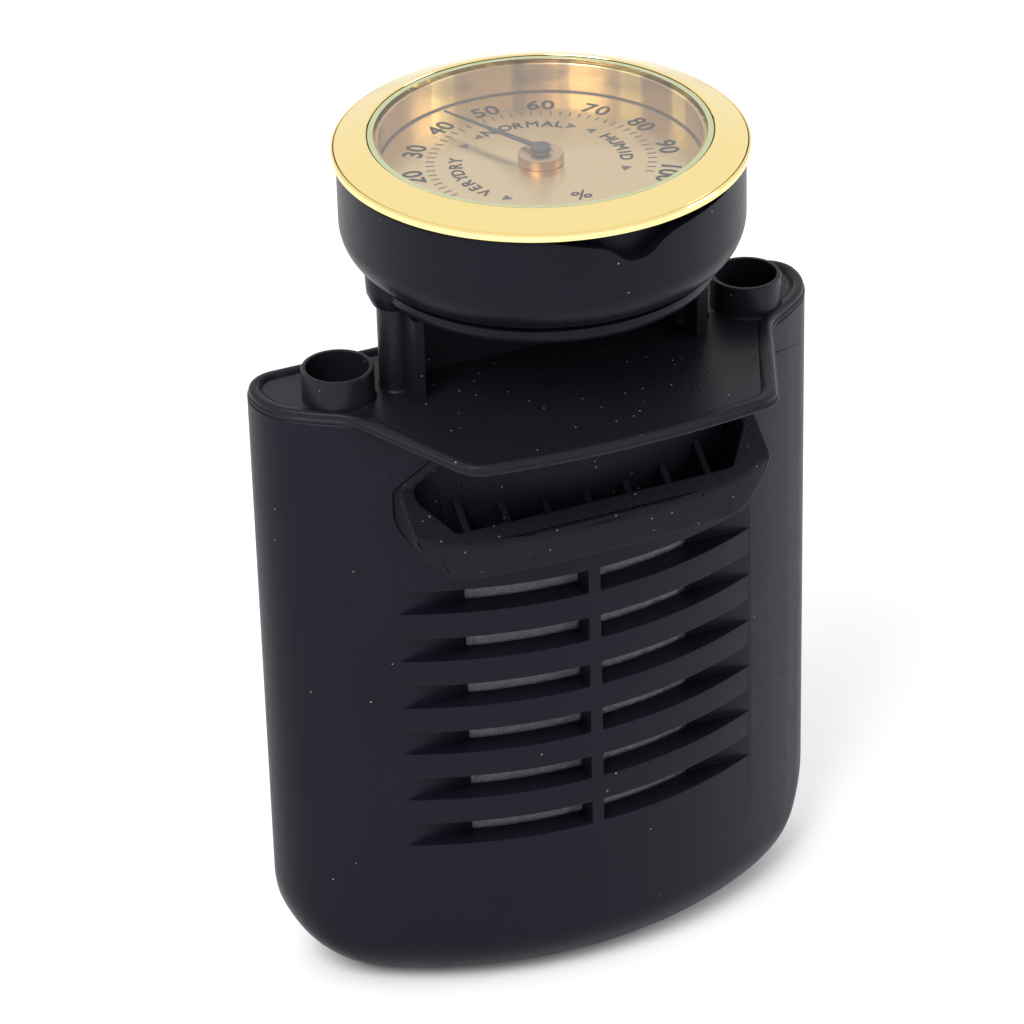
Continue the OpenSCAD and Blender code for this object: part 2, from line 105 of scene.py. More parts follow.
RIM_Z = holder_hi.z
HOLDER_R = holder_hi.x
DISH_Z = LID_FLOOR + 10.6
HOLDER_Z = DISH_Z + 2
POCKET_Z, POCKET_R = HOLDER_Z + 2, 19.8

DIAL_Z = dial_hi.z
LENS_Z, LENS_TOP, LENS_R = lens_lo.z, lens_hi.z, lens_hi.x
WALL_R = 17.4
FROST_R = 17.9
BEZEL_R, TOP_Z, FLANGE_Z = bezel_hi.x, bezel_hi.z, RIM_Z + 0.1
POINTER_Z = DIAL_Z + 1.6
POINTER_ANGLE, POINTER_L = 114, 14.2


# ---- Mesh building ----

def solid(name, verts, faces):
    """Object from points in mm, with its faces pointing outwards."""
    mesh = bpy.data.meshes.new(name)
    mesh.from_pydata([tuple(v) for v in verts], [], faces)
    bm = bmesh.new()
    bm.from_mesh(mesh)
    bmesh.ops.remove_doubles(bm, verts=bm.verts, dist=1e-4)
    bmesh.ops.recalc_face_normals(bm, faces=bm.faces)
    bm.to_mesh(mesh)
    bm.free()
    obj = bpy.data.objects.new(name, mesh)
    bpy.context.scene.collection.objects.link(obj)
    return obj


def loft(name, rings):
    """Closed body through rings of points, all with the same number of points."""
    n = len(rings[0])
    verts = [p for ring in rings for p in ring]
    faces = [tuple(range(n)), tuple(range(len(verts) - n, len(verts)))]
    for k in range(len(rings) - 1):
        for i in range(n):
            j = (i + 1) % n
            faces.append((k * n + i, k * n + j, (k + 1) * n + j, (k + 1) * n + i))
    return solid(name, verts, faces)


def lathe(name, profile, n=192):
    """Body turned round Z from a closed profile of (radius, height)."""
    verts, faces, m = [], [], len(profile)
    for i in range(n):
        a = 2 * math.pi * i / n
        verts += [(r * math.cos(a), r * math.sin(a), z) for r, z in profile]
    for i in range(n):
        for k in range(m):
            a, b = i * m, (i + 1) % n * m
            quad = (a + k, b + k, b + (k + 1) % m, a + (k + 1) % m)
            if profile[k][0] or profile[(k + 1) % m][0]:
                faces.append(quad)
    return solid(name, verts, faces)


def prism(name, outline, axis, start, end):
    """Outline of 2D points pushed along an axis: (y, z) along x, (x, z) along y, (x, y) along z."""
    places = {"x": lambda u, v, w: (w, u, v), "y": lambda u, v, w: (u, w, v), "z": lambda u, v, w: (u, v, w)}
    place = places[axis]
    return loft(name, [[place(u, v, w) for u, v in outline] for w in (start, end)])


def block(name, lo, hi):
    x0, y0, z0 = lo
    x1, y1, z1 = hi
    return prism(name, [(x0, y0), (x1, y0), (x1, y1), (x0, y1)], "z", z0, z1)


def rod(name, x, y, sections, n=64):
    """Upright body of circular sections (radius, height) about (x, y)."""
    rings = [[(x + r * math.cos(2 * math.pi * i / n), y + r * math.sin(2 * math.pi * i / n), z)
              for i in range(n)] for r, z in sections]
    return loft(name, rings)


def gather(objs):
    """One object from several that do not touch."""
    first = objs[0]
    bm = bmesh.new()
    for o in objs:
        bm.from_mesh(o.data)
    bm.to_mesh(first.data)
    bm.free()
    for o in objs[1:]:
        bpy.data.objects.remove(o)
    return first


def settle(obj):
    """Applies an object's modifiers."""
    deps = bpy.context.evaluated_depsgraph_get()
    mesh = bpy.data.meshes.new_from_object(obj.evaluated_get(deps), depsgraph=deps)
    obj.modifiers.clear()
    obj.data = mesh


def combine(obj, tool, operation):
    mod = obj.modifiers.new("combine", "BOOLEAN")
    mod.operation, mod.solver, mod.object = operation, "MANIFOLD", tool
    settle(obj)
    bpy.data.objects.remove(tool)
    return obj


def cut(obj, *tools):
    for tool in tools:
        combine(obj, tool, "DIFFERENCE")
    return obj


def keep(obj, *tools):
    for tool in tools:
        combine(obj, tool, "INTERSECT")
    return obj


def add(obj, *tools):
    for tool in tools:
        combine(obj, tool, "UNION")
    return obj


def soften(obj, width):
    """Rounds an object's sharp edges."""
    bm = bmesh.new()
    bm.from_mesh(obj.data)
    bmesh.ops.remove_doubles(bm, verts=bm.verts, dist=0.004)
    bmesh.ops.dissolve_limit(bm, angle_limit=math.radians(0.4), verts=bm.verts, edges=bm.edges)
    bm.to_mesh(obj.data)
    bm.free()
    mod = obj.modifiers.new("soften", "BEVEL")
    mod.width, mod.segments = width, 2
    mod.limit_method, mod.angle_limit = "ANGLE", math.radians(35)
    mod.use_clamp_overlap = False
    mod.miter_outer = "MITER_ARC"
    settle(obj)
    return obj


def done(obj, body, nodes, looks, smooth=32, pick=None):
    """Shades a piece, gives it its materials (pick chooses one for a face), and puts it in the frame."""
    mesh = obj.data
    mesh.shade_smooth()
    mesh.set_sharp_from_angle(angle=math.radians(smooth))
    mod = obj.modifiers.new("normals", "WEIGHTED_NORMAL")
    mod.keep_sharp = True
    settle(obj)
    mesh = obj.data
    mesh.materials.clear()
    for look in looks:
        mesh.materials.append(look)
    for face in mesh.polygons:
        face.material_index = pick(face) if pick else 0
    mesh.transform(Matrix.Scale(MM, 4))
    mesh.update()
    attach(obj, body)
    if nodes:
        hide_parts(*nodes)
    return obj


# ---- Outlines ----

def arc_front(x, r):
    return ARC_Y - math.sqrt(r * r - x * x)


def corner(p0, p1, p2, r, n):
    """Points of a round corner at p1."""
    p0, p1, p2 = Vector(p0), Vector(p1), Vector(p2)
    a, b = (p0 - p1).normalized(), (p2 - p1).normalized()
    half = a.angle(b) / 2
    centre = p1 + (a + b).normalized() * r / math.sin(half)
    start, end = p1 + a * r / math.tan(half) - centre, p1 + b * r / math.tan(half) - centre
    t0 = math.atan2(start.y, start.x)
    turn = (math.atan2(end.y, end.x) - t0 + math.pi) % (2 * math.pi) - math.pi
    return [tuple(centre + r * Vector((math.cos(t0 + turn * i / n), math.sin(t0 + turn * i / n))))
            for i in range(n + 1)]


def rounded(points, n=10):
    """Outline through (x, y, r) points, each with its own corner radius."""
    out = []
    for i, (x, y, r) in enumerate(points):
        before, after = points[i - 1], points[(i + 1) % len(points)]
        out += corner(before[:2], (x, y), after[:2], r, n) if r else [(x, y)]
    return out


def plan(side, front, rear, r, steps=72):
    """Housing's outline from above, with its walls moved in."""
    w, fr = HALF_W - side, FRONT_R - front
    reach = w - 1.1 * r
    flank = [(x, arc_front(x, fr), 0) for x in (-reach + 2 * reach * i / steps for i in range(steps + 1))]
    blunt = 1.8 * r
    return rounded([(-w, arc_front(w, fr), blunt), *flank, (w, arc_front(w, fr), blunt),
                    (w, REAR_Y - rear, r), (-w, REAR_Y - rear, r)])


def housing(name, side, front, rear, floor_z, top, lip=0.0):
    """Closed body of the housing, with a softened top edge if lip is given."""
    side_r, fillet_r, r = SIDE_R - side, FILLET_R - side, max(1, CORNER_R - side)
    rings = []
    for a in range(0, 91, 3):
        z = side_r * (1 - math.cos(math.radians(a)))
        inset = 0 if z >= fillet_r else fillet_r - math.sqrt(fillet_r ** 2 - (fillet_r - z) ** 2)
        moved_in = side + side_r * (1 - math.sin(math.radians(a)))
        rings.append([(x, y, floor_z + z) for x, y in plan(moved_in, front + inset, rear, r)])
    for m, z in ((0, top - lip), (0.3 * lip, top - 0.3 * lip), (lip, top)) if lip else ((0, top),):
        rings.append([(x, y, z) for x, y in plan(side + m, front + m, rear + m, r)])
    return loft(name, rings)


def lid_plan(m):
    """Lid's outline from above, moved in by m: the housing's ends and back, with a tongue over the ledge."""
    w, fr, root, tip, bow, front = HALF_W - m, FRONT_R - m, 25.2 - m, 18 - m, 1.4, TONGUE_Y + m
    end_r = 1.8 * CORNER_R - m
    arc = [root + 2.6 + i * (w - 3 - root - 2.6) / 6 for i in range(7)]
    tongue = [(x, front + bow * (x / tip) ** 2, 0) for x in range(-12, 13, 2)]
    return rounded([(-w, arc_front(w, fr), end_r), *((-x, arc_front(x, fr), 0) for x in reversed(arc)),
                    (-root, arc_front(root, fr), 6 + m), (-tip, front + bow, 3.2), *tongue,
                    (tip, front + bow, 3.2), (root, arc_front(root, fr), 6 + m),
                    *((x, arc_front(x, fr), 0) for x in arc), (w, arc_front(w, fr), end_r),
                    (w, REAR_Y - m, CORNER_R - m), (-w, REAR_Y - m, CORNER_R - m)], 14)


def ledge_outline(m):
    """Finger ledge's outline from the front, moved in by m, as (x, z)."""
    w, low, high, c = 21.3 - m, ledge_lo.z + m, BODY_H - 1.6, 4.2
    points = [(-w + c, low), (w - c, low), (w, low + c - m / 2), (w, high - 6.4), (w - 6.4, high),
              (-w + 6.4, high), (-w, high - 6.4), (-w, low + c - m / 2)]
    return rounded([(x, z, 1.2 if z > 65 else 4.5) for x, z in points], 8)


def smooth_curve(points, steps=8):
    """Points of a smooth line through the given ones."""
    out = []
    for i in range(len(points) - 1):
        p0, p1, p2, p3 = (points[max(0, min(len(points) - 1, i + k))] for k in (-1, 0, 1, 2))
        for s in range(steps):
            t = s / steps
            out.append(tuple(
                0.5 * (2 * b + (c - a) * t + (2 * a - 5 * b + 4 * c - d) * t * t
                       + (3 * b - a - 3 * c + d) * t ** 3)
                for a, b, c, d in zip(p0, p1, p2, p3)))
    return out + [points[-1]]


# ---- Materials ----

class Look:
    """A material made of nodes, with its coordinates in mm."""

    def __init__(self, name, **values):
        self.mat = bpy.data.materials.new(name)
        self.mat.use_nodes = True
        self.nodes, self.links = self.mat.node_tree.nodes, self.mat.node_tree.links
        self.shader = self.nodes["Principled BSDF"]
        self.output = self.nodes["Material Output"]
        self.set(self.shader, **values)
        place = self.node("ShaderNodeTexCoord")
        self.place = self.node("ShaderNodeVectorMath", operation="SCALE")
        self.place.inputs["Scale"].default_value = 1 / MM
        self.links.new(place.outputs["Object"], self.place.inputs[0])

    def node(self, kind, **values):
        node = self.nodes.new(kind)
        for key, value in values.items():
            setattr(node, key, value)
        return node

    def set(self, node, **values):
        for key, value in values.items():
            socket = node.inputs[key.replace("_", " ")]
            socket.default_value = (*value, 1) if isinstance(value, tuple) and len(value) == 3 else value

    def noise(self, scale, detail=2.0, rough=0.5, stretch=None):
        """Noise with its grain in grains per mm."""
        node = self.node("ShaderNodeTexNoise")
        self.set(node, Scale=scale, Detail=detail, Roughness=rough)
        source = self.place
        if stretch:
            source = self.node("ShaderNodeVectorMath", operation="MULTIPLY")
            source.inputs[1].default_value = stretch
            self.links.new(self.place.outputs[0], source.inputs[0])
        self.links.new(source.outputs[0], node.inputs["Vector"])
        return node.outputs["Fac"]

    def specks(self, per_mm, size, share):
        """1 on scattered round specks, 0 elsewhere."""
        cells = self.node("ShaderNodeTexVoronoi")
        self.set(cells, Scale=per_mm)
        self.links.new(self.place.outputs[0], cells.inputs["Vector"])
        near = self.math("LESS_THAN", cells.outputs["Distance"], size)
        some = self.node("ShaderNodeSeparateColor")
        self.links.new(cells.outputs["Color"], some.inputs[0])
        chosen = self.math("LESS_THAN", some.outputs[0], share)
        return self.math("MULTIPLY", near, chosen)

    def math(self, operation, a, b):
        node = self.node("ShaderNodeMath", operation=operation)
        for socket, value in zip(node.inputs, (a, b)):
            if isinstance(value, (int, float)):
                socket.default_value = value
            else:
                self.links.new(value, socket)
        return node.outputs[0]

    def ramp(self, source, stops):
        """Colours at places along a value from 0 to 1."""
        node = self.node("ShaderNodeValToRGB")
        elements = node.color_ramp.elements
        while len(elements) < len(stops):
            elements.new(1)
        for element, (at, colour) in zip(elements, stops):
            element.position = at
            element.color = (*colour, 1)
        self.links.new(source, node.inputs[0])
        return node.outputs[0]

    def mix(self, fac, a, b):
        node = self.node("ShaderNodeMix", data_type="RGBA")
        for socket, value in ((node.inputs[0], fac), (node.inputs[6], a), (node.inputs[7], b)):
            if isinstance(value, (int, float)):
                socket.default_value = value
            elif isinstance(value, tuple):
                socket.default_value = (*value, 1)
            else:
                self.links.new(value, socket)
        return node.outputs[2]

    def range(self, source, low, high):
        node = self.node("ShaderNodeMapRange")
        node.inputs["To Min"].default_value = low
        node.inputs["To Max"].default_value = high
        self.links.new(source, node.inputs["Value"])
        return node.outputs[0]

    def to(self, socket, value):
        self.links.new(value, self.shader.inputs[socket])
        return self

    def bump(self, height, depth_mm):
        node = self.node("ShaderNodeBump")
        self.set(node, Strength=1.0, Distance=depth_mm * MM)
        self.links.new(height, node.inputs["Height"])
        return self.to("Normal", node.outputs[0])


def plastic(name, colour, rough, grain, depth, dust_and_glints, lift=(0.2, 0.2, 0.21), shine=0.12):
    """Black moulded plastic with a fine grain, and light specks that are partly dust and partly painted
    glints.
    """
    look = Look(name, Specular_IOR_Level=shine, Specular_Tint=(0.88, 0.88, 1.0))
    tone = look.mix(look.noise(0.05), tuple(c * 0.8 for c in colour), tuple(c * 1.25 for c in colour))
    # Light specks: partly dust, partly painted glints of the spark-textured grain.
    tone = look.mix(look.specks(0.9, 0.09, dust_and_glints), tone, lift)
    look.to("Base Color", tone)
    look.to("Roughness", look.range(look.noise(0.35), rough - 0.05, rough + 0.06))
    return look.bump(look.noise(grain, 3), depth).mat


def metal(name, colour, rough, **values):
    look = Look(name, Metallic=1.0, **values)
    look.to("Base Color", look.mix(look.noise(0.2), tuple(c * 0.96 for c in colour), colour))
    look.to("Roughness", look.range(look.noise(0.6), rough * 0.85, rough * 1.15))
    return look


def turned(look, per_mm, depth):
    """Fine rings round the axis, as a lathe leaves them."""
    rings = look.node("ShaderNodeTexWave", wave_type="RINGS", rings_direction="Z")
    look.set(rings, Scale=per_mm / 2, Distortion=0.15, Detail=2.0, Detail_Scale=2.0)
    look.links.new(look.place.outputs[0], rings.inputs["Vector"])
    look.bump(rings.outputs["Fac"], depth)
    tangent = look.node("ShaderNodeTangent", direction_type="RADIAL", axis="Z")
    look.links.new(tangent.outputs[0], look.shader.inputs["Tangent"])
    return look


def housing_look():
    return plastic("housing_plastic", (0.0055, 0.0055, 0.0105), 0.38, 5, 0.012, 0.035)


def ledge_look():
    return plastic("ledge_plastic", (0.0065, 0.0065, 0.0105), 0.48, 2.6, 0.09, 0.5, (0.16, 0.15, 0.15))


def lid_look():
    return plastic("lid_plastic", (0.0085, 0.0082, 0.0115), 0.34, 2.4, 0.04, 0.3, shine=0.16)


def holder_look():
    return plastic("holder_plastic", (0.0045, 0.0045, 0.0085), 0.34, 4, 0.008, 0.03)


def foam_look():
    look = Look("sponge_foam", Roughness=0.95, Specular_IOR_Level=0.1)
    tone = look.mix(look.noise(0.9, 4, 0.7), (0.13, 0.135, 0.15), (0.36, 0.37, 0.40))
    return look.to("Base Color", tone).bump(look.noise(2.2, 4, 0.7), 0.4).mat


def bezel_look():
    look = Look("bezel_gold", Metallic=1.0, Roughness=0.09)
    gold = look.mix(look.noise(0.12), (0.98, 0.80, 0.37), (0.96, 0.77, 0.34))
    look.to("Base Color", look.mix(look.specks(0.55, 0.035, 0.12), gold, (0.3, 0.2, 0.05)))
    return look.bump(look.noise(0.25), 0.006).mat


def wall_look():
    """Lathe-turned gold. Its bands stand in for reflections: they are painted, by angle round the axis."""
    look, rough = Look("wall_gold", Metallic=1.0), 0.24
    look.to("Roughness", look.range(look.noise(0.6), rough * 0.85, rough * 1.15))
    angle = look.node("ShaderNodeTexGradient", gradient_type="RADIAL")
    look.links.new(look.place.outputs[0], angle.inputs[0])
    tan, brown, bright, orange = (0.47, 0.33, 0.16), (0.10, 0.06, 0.05), (1.0, 0.85, 0.40), (0.33, 0.20, 0.11)
    bands = ((0, tan), (1, tan), (3, bright), (10, bright), (12, orange), (26, orange), (27.5, bright),
             (35.5, bright), (37, tan), (55, tan), (56.5, brown), (59, brown), (60, orange), (69, orange),
             (70.5, tan), (72.5, brown), (75.5, brown), (77, tan), (98, tan), (99.5, bright), (108.5, bright),
             (110, tan), (150, orange), (180, tan))
    tone = look.ramp(angle.outputs["Fac"], [(0, tan), *((0.5 + a / 360, c) for a, c in bands)])
    streaks = look.noise(1, 3, 0.6, (0.15, 0.15, 7))
    look.to("Base Color", look.mix(look.range(streaks, 0, 0.5), tone, (0.95, 0.75, 0.40)))
    return look.bump(look.noise(1, 2, 0.5, (0.1, 0.1, 9)), 0.02).mat


def glass_look(name, colour, rough, clear):
    """Glass that lamps and reflections see through; clear is the share of light it lets straight through."""
    look = Look(name, Base_Color=colour, Roughness=rough, Transmission_Weight=1.0, IOR=1.5)
    path = look.node("ShaderNodeLightPath")
    hidden = look.math("MAXIMUM", path.outputs["Is Shadow Ray"], path.outputs["Is Diffuse Ray"])
    mirrored = look.math("SUBTRACT", path.outputs["Is Glossy Ray"], path.outputs["Is Transmission Ray"])
    hidden = look.math("MAXIMUM", hidden, mirrored)
    clean = look.node("ShaderNodeBsdfTransparent")
    clean.inputs[0].default_value = (clear, clear, clear, 1)
    mixer = look.node("ShaderNodeMixShader")
    look.links.new(hidden, mixer.inputs[0])
    look.links.new(look.shader.outputs[0], mixer.inputs[1])
    look.links.new(clean.outputs[0], mixer.inputs[2])
    look.links.new(mixer.outputs[0], look.output.inputs["Surface"])
    return look


def lens_look():
    look = glass_look("lens_glass", (0.985, 0.99, 0.98), 0.0, 0.96)
    look.set(look.shader, Specular_IOR_Level=0.12)
    look.to("Roughness", look.math("MULTIPLY", look.specks(0.25, 0.03, 0.06), 0.4))
    return look.mat


def frost_look():
    """Ground bevel round the glass."""
    look = Look("lens_frost", Roughness=0.35, Specular_IOR_Level=0.6)
    tone = look.mix(look.noise(0.5, 3), (0.34, 0.37, 0.19), (0.42, 0.45, 0.27))
    return look.to("Base Color", tone).mat


def dial_look():
    look = metal("dial_metal", (0.68, 0.495, 0.25), 0.15, Anisotropic=0.65)
    return turned(look, 9, 0.003).mat


def bush_look():
    return turned(metal("bush_brass", (0.52, 0.33, 0.18), 0.3, Anisotropic=0.5), 8, 0.004).mat


def ink_look():
    look = Look("pointer_black", Roughness=0.45, Specular_IOR_Level=0.35)
    look.to("Base Color", look.mix(look.noise(3), (0.018, 0.016, 0.017), (0.03, 0.027, 0.027)))
    return look.mat


def dark_look(name, colour, rough):
    look = Look(name, Roughness=rough, Specular_IOR_Level=0.12)
    return look.to("Base Color", look.mix(look.noise(0.8), colour, tuple(c * 1.3 for c in colour))).mat


LOOKS = {
    "housing_plastic": housing_look(),
    "ledge_plastic": ledge_look(),
    "lid_plastic": lid_look(),
    "holder_plastic": holder_look(),
    "sponge_foam": foam_look(),
    "gasket_rubber": dark_look("gasket_rubber", (0.02, 0.02, 0.02), 0.7),
    "screw_steel": metal("screw_steel", (0.60, 0.60, 0.62), 0.28).mat,
    "case_metal": metal("case_metal", (0.75, 0.58, 0.28), 0.32).mat,
    "bezel_gold": bezel_look(),
    "wall_gold": wall_look(),
    "lens_glass": lens_look(),
    "dial_metal": dial_look(),
    "bush_brass": bush_look(),
    "bridge_brass": metal("bridge_brass", (0.68, 0.50, 0.22), 0.3).mat,
    "coil_strip": dark_look("coil_strip", (0.45, 0.30, 0.14), 0.6),
    "spindle_steel": metal("spindle_steel", (0.60, 0.60, 0.62), 0.2).mat,
    "pointer_black": ink_look(),
}
FROST = frost_look()
# Dark brown painted shade for the groove in the bezel, the joint of wall and dial, and the edge of the glass.
GAP_SHADE = dark_look("painted_gap_shade", (0.035, 0.02, 0.01), 0.6)
INK = dark_look("dial_ink", (0.060, 0.045, 0.034), 0.6)


# ---- Housing ----

def boss(p):
    x, z = p
    low = (x - BOSS_HALF, BACK_Y - BOSS_D, z - BOSS_HALF)
    return block("boss", low, (x + BOSS_HALF, BACK_Y, z + BOSS_HALF))


def behind():
    """All the room from the back plate's front face backwards."""
    return block("behind", (-FAR, BACK_Y, -1), (FAR, REAR_Y + 2, BODY_H + 2))


def circle(p, r):
    turns = [math.radians(a) for a in range(0, 360, 12)]
    return [(p[0] + r * math.cos(a), p[1] + r * math.sin(a)) for a in turns]


def pin(name, p, r, y0, y1):
    """Cylinder along Y about (x, z)."""
    return prism(name, circle(p, r), "y", y0, y1)


def reliefs():
    sections = ((RELIEF_R, RELIEF_Z), (RELIEF_R, BODY_H + 0.01))
    return gather([rod("relief", s * TUBE_X, 0, sections) for s in (-1, 1)])


def slots(name, x1, y0, y1):
    bars = []
    for row in range(SLOT_ROWS):
        z = SLOT_TOP - row * SLOT_PITCH
        for s in (-1, 1):
            xs = sorted((s * SLOT_BAR / 2, s * x1))
            bars.append(block(name, (xs[0], y0, z - SLOT_H), (xs[1], y1, z)))
    return gather(bars)


def front_shell():
    shell = housing("front_shell_look", 0, 0, 0, 0, BODY_H, 0.25)
    cut(shell, housing("inside", SIDE_WALL, FRONT_WALL, 0.5, BOTTOM_T, BODY_H + 2))
    groove_y = arc_front(HALF_W * 0.65, FRONT_R)
    cut(shell, slots("groove", HALF_W + 1, groove_y - 20, groove_y))
    add(shell, gather([boss(p) for p in BOSS_PLACES]))
    cut(shell, prism("window", ledge_outline(-0.05), "y", -30, 0), behind())
    cut(shell, gather([pin("screw_room", p, SCREW_ROOM_R, BACK_Y - 4.2, BACK_Y + 1) for p in BOSS_PLACES]))
    cut(soften(shell, 0.16), reliefs())
    return done(shell, "housing", ["front_shell"], [LOOKS["housing_plastic"]])


def back_plate():
    plate = housing("back_plate_look", 0, 0, 0, 0, BODY_H, 0.25)
    keep(plate, behind())
    cut(plate, slots("slot", 14.05, BACK_Y - 1, REAR_Y + 1))
    for p in BOSS_PLACES:
        cut(plate, pin("hole", p, SCREW_ROOM_R, BACK_Y - 1, REAR_Y + 1))
        cone = ((SCREW_ROOM_R, REAR_Y - 0.9), (2.05, REAR_Y), (2.05, REAR_Y + 1))
        cut(plate, loft("sink", [[(x, y, z) for x, z in circle(p, r)] for r, y in cone]))
    return done(soften(plate, 0.16), "housing", ["back_plate"], [LOOKS["housing_plastic"]])


def finger_ledge():
    """Shelf with a sloped rim, a pocket and ribs, which stand a little lower than the CAD's."""
    depth, crease, slope, inside_r = -ledge_lo.y, 61.1, 0.8, FRONT_R - FRONT_WALL
    front = [(x, -depth + x * x / 300 + max(0, abs(x) - 15) ** 2 / 40) for x in range(-30, 31)]
    ledge = prism("finger_ledge_look", ledge_outline(0), "y", -30, 0)
    wedge = [(-depth - 1, 40), (-depth - 1, crease - 0.5), (-depth + 0.05, crease - 0.15)]
    wedge += [(-depth + 0.5, crease + 0.28), (0.5, crease + (depth + 0.5) * slope), (0.5, 40)]
    keep(ledge, prism("wedge", wedge, "x", -FAR, FAR), prism("bow", [*front, (30, 5), (-30, 5)], "z", 40, 90))
    backing = prism("backing", ledge_outline(0), "y", -30, 0)
    keep(backing, rod("arc", 0, ARC_Y, ((FRONT_R, 40), (FRONT_R, 90)), 256))
    add(ledge, backing)
    pocket_plan = [(-16.4, -12.9), (16.4, -12.9), (19.4, -9.4), (19.6, 1), (-19.6, 1), (-19.4, -9.4)]
    pocket = prism("pocket", rounded([(x, y, 0.9) for x, y in pocket_plan], 6), "z", ledge_lo.z + 1.7, 90)
    keep(pocket, prism("pocket_sides", ledge_outline(1.7), "y", -30, 2))
    cut(pocket, rod("pocket_back", 0, ARC_Y, ((inside_r + 0.9, 40), (inside_r + 0.9, 91)), 256))
    cut(ledge, pocket)
    soften(ledge, 0.4)
    rib_top = [(-depth + 1.9, ledge_lo.z + 1), (-depth + 1.9, crease - 1.6), (-depth + 3.2, crease - 0.4),
               (0, crease + (depth - 4.2) * slope)]
    rib = [*rib_top, (0, ledge_lo.z + 1)]
    ribs = gather([prism("rib", rib, "x", i * RIB_PITCH - RIB_T / 2, i * RIB_PITCH + RIB_T / 2)
                   for i in range(-3, 4)])
    keep(ribs, prism("rib_room", ledge_outline(1.5), "y", -30, 2))
    add(ledge, soften(ribs, 0.12))
    cut(ledge, rod("inside_arc", 0, ARC_Y, ((inside_r, 40), (inside_r, 91)), 256))
    return done(ledge, "housing", ["finger_ledge"], [LOOKS["ledge_plastic"]])


def sponge():
    """Open foam block with an uneven face."""
    block_obj = housing("sponge_look", SIDE_WALL + 0.6, FRONT_WALL + 0.3, 0, BOTTOM_T + 0.1, sponge_hi.z)
    keep(block_obj, block("sides", (sponge_lo.x, -20, 0), (sponge_hi.x, sponge_hi.y, 80)))
    half, front_y = 2.9, BACK_Y - 7.2
    cut(block_obj, gather([block("boss_room", (x - half, front_y, z - half), (x + half, BACK_Y + 1, z + half))
                           for x, z in BOSS_PLACES]))
    mod = block_obj.modifiers.new("grid", "REMESH")
    mod.mode, mod.voxel_size = "VOXEL", 0.55
    settle(block_obj)
    rng = random.Random(7)
    for v, n in [(v, v.normal.copy()) for v in block_obj.data.vertices]:
        v.co -= n * (0.05 + 0.3 * rng.random() ** 2)
    done(block_obj, "housing", ["sponge"], [LOOKS["sponge_foam"]], 180)
    return block_obj


# ---- Lid and neck ----

def skirt_plan(m, end=0.0):
    return plan(SIDE_WALL + 0.8 + m + end, FRONT_WALL + 0.8 + m, REAR_Y - BACK_Y + 0.8 + m, 0.9)


def wall_between(name, outer, inner, z0, z1):
    return cut(prism(name, outer, "z", z0, z1), prism("inner", inner, "z", z0 - 1, z1 + 1))


def neck_walls(m, soft):
    """Fins and web of the neck, wider by m all round, with edges rounded by soft if it isn't 0."""
    top = LID_FLOOR + 9.7
    walls = []
    for s in (-1, 1):
        x0, x1 = sorted((s * (POST_X - POST_R + 0.6 - m), s * (POST_X - POST_R + 1.8 + m)))
        walls.append(block("fin", (x0, -4.8 - m, LID_FLOOR - 0.05), (x1, 0.01, top + m)))
    web_top = LID_FLOOR + 10.4 + m
    walls.append(block("web", (-POST_X, 1.2 - m, LID_FLOOR - 0.05), (POST_X, 2.4 + m, web_top)))
    return [soften(w, soft) if soft else w for w in walls]


def lid():
    edge = ((0.18, BODY_H), (0.05, BODY_H + 0.06), (0, BODY_H + 0.16), (0.02, BODY_H + 0.30),
            (0.12, BODY_H + 0.38), (0.2, BODY_H + 0.46), (0.16, BODY_H + 0.6), (0.18, LIP_Z - 0.32),
            (0.28, LIP_Z - 0.14), (0.46, LIP_Z - 0.03), (0.68, LIP_Z), (0.95, LIP_Z - 0.02),
            (1.2, LIP_Z - 0.1), (1.36, LIP_Z - 0.24),
            (1.42, LID_FLOOR - 0.02), (1.5, LID_FLOOR - 0.1), (1.62, LID_FLOOR - 0.08), (1.74, LID_FLOOR))
    body = loft("lid_look", [[(x, y, z) for x, y in lid_plan(m)] for m, z in edge])
    skirt = wall_between("skirt", skirt_plan(0), skirt_plan(1.2, 3.2), BODY_H - 6, BODY_H + 0.2)
    add(body, skirt)
    for s in (-1, 1):
        tube = rod("tube", s * TUBE_X, 0, (
            (TUBE_R - 0.2, BODY_H + 0.1), (TUBE_R + 0.25, LID_FLOOR - 0.02), (TUBE_R + 0.08, LID_FLOOR + 0.1),
            (TUBE_R, LID_FLOOR + 0.3), (TUBE_R, TUBE_TOP - 0.16), (TUBE_R - 0.06, TUBE_TOP - 0.04),
            (TUBE_R - 0.16, TUBE_TOP)), 96)
        bore = rod("bore", s * TUBE_X, 0, (
            (TUBE_BORE, BODY_H - 1), (TUBE_BORE, TUBE_TOP - 0.14), (TUBE_BORE + 0.05, TUBE_TOP - 0.04),
            (TUBE_BORE + 0.16, TUBE_TOP + 0.02), (TUBE_BORE + 0.16, TUBE_TOP + 1)), 96)
        cut(add(body, tube), bore)
        add(body, rod("post", s * POST_X, 0, (
            (POST_R + 0.3, LID_FLOOR - 0.1), (POST_R + 0.1, LID_FLOOR + 0.12), (POST_R, LID_FLOOR + 0.35),
            (POST_R, HOLDER_Z - 1.2)), 64))
    add(body, *neck_walls(0, 0.12))
    add(body, rod("ejector_mark", 3.5, -9.5, ((1.2, LID_FLOOR - 0.1), (1.2, LID_FLOOR + 0.03)), 48))
    cut(body, reliefs())
    for s in (-1, 1):
        room = ((POST_SCREW_ROOM_R, LID_FLOOR + 2), (POST_SCREW_ROOM_R, LID_FLOOR + 30))
        cut(body, rod("screw_room", s * POST_X, 0, room, 32))
    return done(body, "lid_unit", ["lid"], [LOOKS["lid_plastic"]])


